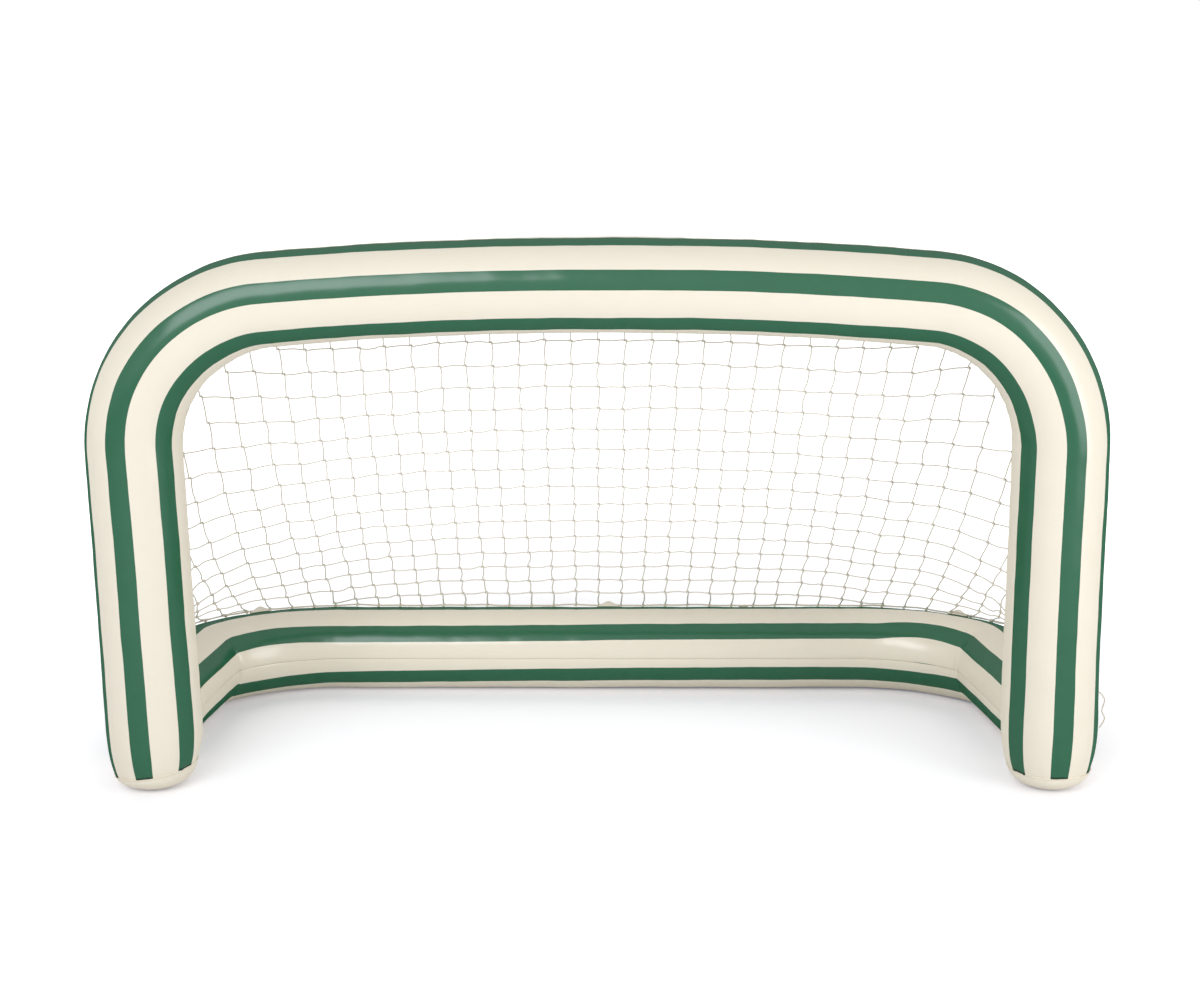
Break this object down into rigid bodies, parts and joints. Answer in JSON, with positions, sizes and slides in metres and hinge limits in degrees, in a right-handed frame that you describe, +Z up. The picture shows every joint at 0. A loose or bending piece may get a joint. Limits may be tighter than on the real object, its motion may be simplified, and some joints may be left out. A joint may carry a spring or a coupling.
{
  "type": "inflatable floating goal",
  "caption": "Inflatable floating goal: striped film tubes form an arch and a U-shaped base, with a knotted cord net sloping from the crossbar to the base.",
  "frame": {"origin": "on the ground, in the middle of the goal's footprint, taken without the loose cord end", "axes": "+X to the right of someone who faces the open mouth, +Y from the mouth towards the net, +Z up"},
  "size_m": [1.5704, 0.6099, 0.83],
  "materials": {
    "striped_film": "semi-gloss vinyl film, cream with six green stripes round each tube",
    "cream_film": "semi-gloss vinyl film, plain cream",
    "net_cord": "matt beige twisted cord",
    "valve_plastic": "soft clear vinyl, milky"
  },
  "bodies": {
    "goal": {"arch_front_panel": "striped_film", "arch_rear_panel": "striped_film", "base_top_panel": "striped_film", "base_bottom_panel": "striped_film", "arch_end_disc_left": "cream_film", "arch_end_disc_right": "cream_film", "base_end_disc_left": "cream_film", "base_end_disc_right": "cream_film", "join_collar_left": "cream_film", "join_collar_right": "cream_film", "crossbar_loop_1": "cream_film", "crossbar_loop_2": "cream_film", "crossbar_loop_3": "cream_film", "crossbar_loop_4": "cream_film", "crossbar_loop_5": "cream_film", "leg_loop_left_1": "cream_film", "leg_loop_left_2": "cream_film", "leg_loop_left_3": "cream_film", "leg_loop_right_1": "cream_film", "leg_loop_right_2": "cream_film", "leg_loop_right_3": "cream_film", "base_loop_middle": "cream_film", "base_loop_left_1": "cream_film", "base_loop_left_2": "cream_film", "base_loop_right_1": "cream_film", "base_loop_right_2": "cream_film", "net_back": "net_cord", "net_left": "net_cord", "net_right": "net_cord", "border_cord_arch": "net_cord", "border_cord_base": "net_cord", "tie_knot_left": "net_cord", "tie_knot_right": "net_cord", "cord_tail_right": "net_cord", "arch_valve_seat": "valve_plastic", "base_valve_seat": "valve_plastic"},
    "arch_neck": {"arch_valve_neck": "valve_plastic"},
    "arch_plug": {"arch_valve_plug": "valve_plastic"},
    "arch_flap": {"arch_valve_flap": "valve_plastic"},
    "base_neck": {"base_valve_neck": "valve_plastic"},
    "base_plug": {"base_valve_plug": "valve_plastic"},
    "base_flap": {"base_valve_flap": "valve_plastic"}
  },
  "joints": [
    {"name": "arch_neck_push", "type": "slide", "parent": "goal", "child": "arch_neck", "axis": [0.5, -0.866, 0.003], "range_m": [0, 0.0072]},
    {"name": "arch_plug_hinge", "type": "hinge", "parent": "arch_neck", "child": "arch_plug", "pos_m": [-0.71843, -0.16528, 0.35097], "axis": [-0.866, -0.5, -0.0052], "range_deg": [0, 120]},
    {"name": "arch_flap_hinge", "type": "hinge", "parent": "arch_neck", "child": "arch_flap", "pos_m": [-0.70966, -0.18052, 0.35502], "axis": [0.866, 0.5, 0.0052], "range_deg": [0, 50]},
    {"name": "base_neck_push", "type": "slide", "parent": "goal", "child": "base_neck", "axis": [0, -0.7071, -0.7071], "range_m": [0, 0.0072]},
    {"name": "base_plug_hinge", "type": "hinge", "parent": "base_neck", "child": "base_plug", "pos_m": [0.251, 0.29102, 0.12663], "axis": [0, -0.7071, 0.7071], "range_deg": [0, 120]},
    {"name": "base_flap_hinge", "type": "hinge", "parent": "base_neck", "child": "base_flap", "pos_m": [0.255, 0.27858, 0.11419], "axis": [0, 0.7071, -0.7071], "range_deg": [0, 50]}
  ]
}
